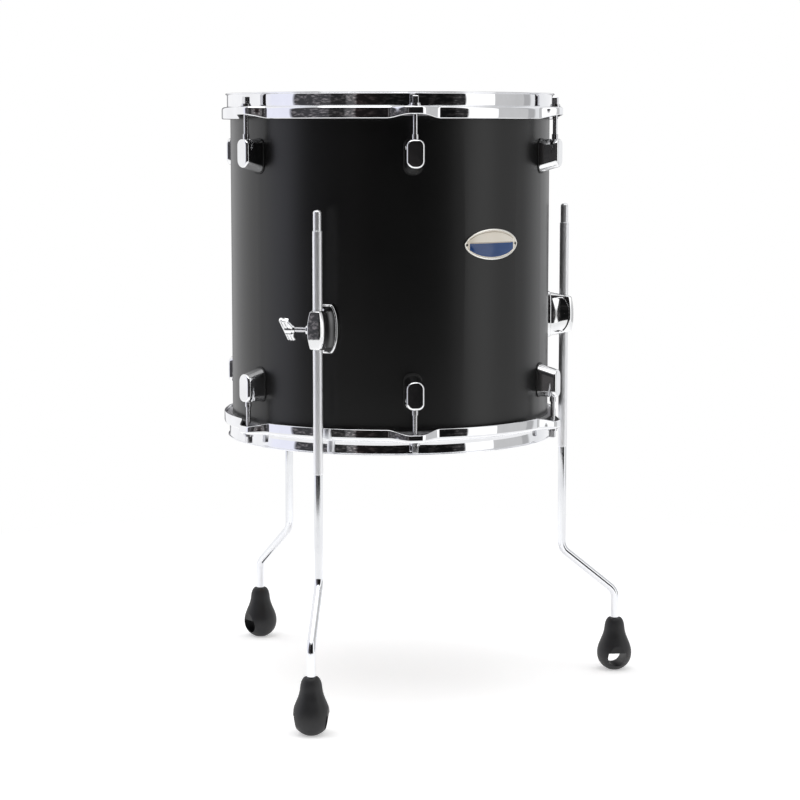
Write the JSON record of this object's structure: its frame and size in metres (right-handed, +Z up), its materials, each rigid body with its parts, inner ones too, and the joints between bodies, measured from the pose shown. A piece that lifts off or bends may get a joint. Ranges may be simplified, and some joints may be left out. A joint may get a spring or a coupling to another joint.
{
  "type": "floor tom drum",
  "caption": "Cylindrical tom drum in satin black with chromed hoops and lugs, standing on bent clamp-in steel legs with rubber feet.",
  "frame": {"origin": "on the drum's axis at floor level, under the centre of the shell", "axes": "+Z up along the drum's axis, -Y towards the badge, +X to the right of the badge seen from the front"},
  "size_m": [0.4846, 0.4705, 0.6635],
  "materials": {
    "shell_lacquer": "satin black lacquer over maple ply",
    "chrome": "polished plating",
    "hoop_chrome": "polished plating on pressed steel",
    "cast_chrome": "polished plating on cast metal",
    "wing_chrome": "polished plating on cast metal",
    "steel_hardware": "plated steel",
    "leg_steel": "plated steel, knurled upper part",
    "zinc_steel": "zinc plated",
    "pad_brass": "plain turned",
    "head_ring_aluminium": "rolled",
    "coated_film": "coated white polyester film",
    "clear_film": "clear polyester film",
    "gasket_rubber": "moulded black",
    "foot_rubber": "moulded black, matte",
    "badge_enamel": "pressed plate, cream and blue enamel, plain"
  },
  "bodies": {
    "drum": {"shell": "shell_lacquer", "vent_grommet": "chrome", "badge": "badge_enamel", "badge_pins": "chrome", "batter_hoop": "hoop_chrome", "resonant_hoop": "hoop_chrome", "batter_head_film": "coated_film", "resonant_head_film": "clear_film", "batter_head_ring": "head_ring_aluminium", "resonant_head_ring": "head_ring_aluminium", "batter_lug_1": "cast_chrome", "batter_lug_2": "cast_chrome", "batter_lug_3": "cast_chrome", "batter_lug_4": "cast_chrome", "batter_lug_5": "cast_chrome", "batter_lug_6": "cast_chrome", "resonant_lug_1": "cast_chrome", "resonant_lug_2": "cast_chrome", "resonant_lug_3": "cast_chrome", "resonant_lug_4": "cast_chrome", "resonant_lug_5": "cast_chrome", "resonant_lug_6": "cast_chrome", "lug_gaskets": "gasket_rubber", "swivel_nuts": "steel_hardware", "lug_screws": "zinc_steel", "lug_screw_washers": "zinc_steel", "rod_washers": "steel_hardware", "bracket_gaskets": "gasket_rubber", "bracket_screws": "zinc_steel", "bracket_screw_washers": "zinc_steel", "leg_bracket_left": "cast_chrome", "leg_bracket_right": "cast_chrome", "leg_bracket_rear": "cast_chrome"},
    "batter_tension_rod_1": {"batter_tension_rod_1": "steel_hardware"},
    "batter_tension_rod_2": {"batter_tension_rod_2": "steel_hardware"},
    "batter_tension_rod_3": {"batter_tension_rod_3": "steel_hardware"},
    "batter_tension_rod_4": {"batter_tension_rod_4": "steel_hardware"},
    "batter_tension_rod_5": {"batter_tension_rod_5": "steel_hardware"},
    "batter_tension_rod_6": {"batter_tension_rod_6": "steel_hardware"},
    "resonant_tension_rod_1": {"resonant_tension_rod_1": "steel_hardware"},
    "resonant_tension_rod_2": {"resonant_tension_rod_2": "steel_hardware"},
    "resonant_tension_rod_3": {"resonant_tension_rod_3": "steel_hardware"},
    "resonant_tension_rod_4": {"resonant_tension_rod_4": "steel_hardware"},
    "resonant_tension_rod_5": {"resonant_tension_rod_5": "steel_hardware"},
    "resonant_tension_rod_6": {"resonant_tension_rod_6": "steel_hardware"},
    "clamp_pad_left": {"clamp_pad_left": "pad_brass"},
    "wing_bolt_left": {"wing_bolt_left": "wing_chrome"},
    "leg_left": {"leg_left": "leg_steel", "foot_left": "foot_rubber"},
    "clamp_pad_right": {"clamp_pad_right": "pad_brass"},
    "wing_bolt_right": {"wing_bolt_right": "wing_chrome"},
    "leg_right": {"leg_right": "leg_steel", "foot_right": "foot_rubber"},
    "clamp_pad_rear": {"clamp_pad_rear": "pad_brass"},
    "wing_bolt_rear": {"wing_bolt_rear": "wing_chrome"},
    "leg_rear": {"leg_rear": "leg_steel", "foot_rear": "foot_rubber"}
  },
  "joints": [
    {"name": "leg_left_height", "type": "slide", "parent": "drum", "child": "leg_left", "axis": [0, 0, 1], "range_m": [-0.09, 0.12]},
    {"name": "leg_right_height", "type": "slide", "parent": "drum", "child": "leg_right", "axis": [0, 0, 1], "range_m": [-0.09, 0.12]},
    {"name": "leg_rear_height", "type": "slide", "parent": "drum", "child": "leg_rear", "axis": [0, 0, 1], "range_m": [-0.09, 0.12]},
    {"name": "clamp_pad_left_slide", "type": "slide", "parent": "drum", "child": "clamp_pad_left", "axis": [-0.5, 0.866, 0], "range_m": [0, 0.00125]},
    {"name": "wing_bolt_left_turn", "type": "hinge", "parent": "clamp_pad_left", "child": "wing_bolt_left", "pos_m": [-0.17294, -0.09985, 0.4156], "axis": [-0.5, 0.866, 0], "range_deg": [0, 450]},
    {"name": "clamp_pad_right_slide", "type": "slide", "parent": "drum", "child": "clamp_pad_right", "axis": [0.5, 0.866, 0], "range_m": [0, 0.00125]},
    {"name": "wing_bolt_right_turn", "type": "hinge", "parent": "clamp_pad_right", "child": "wing_bolt_right", "pos_m": [0.17294, -0.09985, 0.4156], "axis": [0.5, 0.866, 0], "range_deg": [0, 450]},
    {"name": "clamp_pad_rear_slide", "type": "slide", "parent": "drum", "child": "clamp_pad_rear", "axis": [1, 0, 0], "range_m": [0, 0.00125]},
    {"name": "wing_bolt_rear_turn", "type": "hinge", "parent": "clamp_pad_rear", "child": "wing_bolt_rear", "pos_m": [0, 0.1997, 0.4156], "axis": [1, 0, 0], "range_deg": [0, 450]},
    {"name": "batter_tension_rod_1_turn", "type": "hinge", "parent": "drum", "child": "batter_tension_rod_1", "pos_m": [-0.09675, 0.16758, 0.6635], "axis": [0, 0, 1], "range_deg": [-135, 135]},
    {"name": "batter_tension_rod_2_turn", "type": "hinge", "parent": "drum", "child": "batter_tension_rod_2", "pos_m": [-0.1935, 0, 0.6635], "axis": [0, 0, 1], "range_deg": [-135, 135]},
    {"name": "batter_tension_rod_3_turn", "type": "hinge", "parent": "drum", "child": "batter_tension_rod_3", "pos_m": [-0.09675, -0.16758, 0.6635], "axis": [0, 0, 1], "range_deg": [-135, 135]},
    {"name": "batter_tension_rod_4_turn", "type": "hinge", "parent": "drum", "child": "batter_tension_rod_4", "pos_m": [0.09675, -0.16758, 0.6635], "axis": [0, 0, 1], "range_deg": [-135, 135]},
    {"name": "batter_tension_rod_5_turn", "type": "hinge", "parent": "drum", "child": "batter_tension_rod_5", "pos_m": [0.1935, 0, 0.6635], "axis": [0, 0, 1], "range_deg": [-135, 135]},
    {"name": "batter_tension_rod_6_turn", "type": "hinge", "parent": "drum", "child": "batter_tension_rod_6", "pos_m": [0.09675, 0.16758, 0.6635], "axis": [0, 0, 1], "range_deg": [-135, 135]},
    {"name": "resonant_tension_rod_1_turn", "type": "hinge", "parent": "drum", "child": "resonant_tension_rod_1", "pos_m": [-0.09675, 0.16758, 0.2825], "axis": [0, 0, -1], "range_deg": [-135, 135]},
    {"name": "resonant_tension_rod_2_turn", "type": "hinge", "parent": "drum", "child": "resonant_tension_rod_2", "pos_m": [-0.1935, 0, 0.2825], "axis": [0, 0, -1], "range_deg": [-135, 135]},
    {"name": "resonant_tension_rod_3_turn", "type": "hinge", "parent": "drum", "child": "resonant_tension_rod_3", "pos_m": [-0.09675, -0.16758, 0.2825], "axis": [0, 0, -1], "range_deg": [-135, 135]},
    {"name": "resonant_tension_rod_4_turn", "type": "hinge", "parent": "drum", "child": "resonant_tension_rod_4", "pos_m": [0.09675, -0.16758, 0.2825], "axis": [0, 0, -1], "range_deg": [-135, 135]},
    {"name": "resonant_tension_rod_5_turn", "type": "hinge", "parent": "drum", "child": "resonant_tension_rod_5", "pos_m": [0.1935, 0, 0.2825], "axis": [0, 0, -1], "range_deg": [-135, 135]},
    {"name": "resonant_tension_rod_6_turn", "type": "hinge", "parent": "drum", "child": "resonant_tension_rod_6", "pos_m": [0.09675, 0.16758, 0.2825], "axis": [0, 0, -1], "range_deg": [-135, 135]}
  ],
  "couplings": [
    {"joint": "wing_bolt_left_turn", "follows": "clamp_pad_left_slide", "rad_per_m": 6283.2},
    {"joint": "wing_bolt_right_turn", "follows": "clamp_pad_right_slide", "rad_per_m": 6283.2},
    {"joint": "wing_bolt_rear_turn", "follows": "clamp_pad_rear_slide", "rad_per_m": 6283.2}
  ]
}
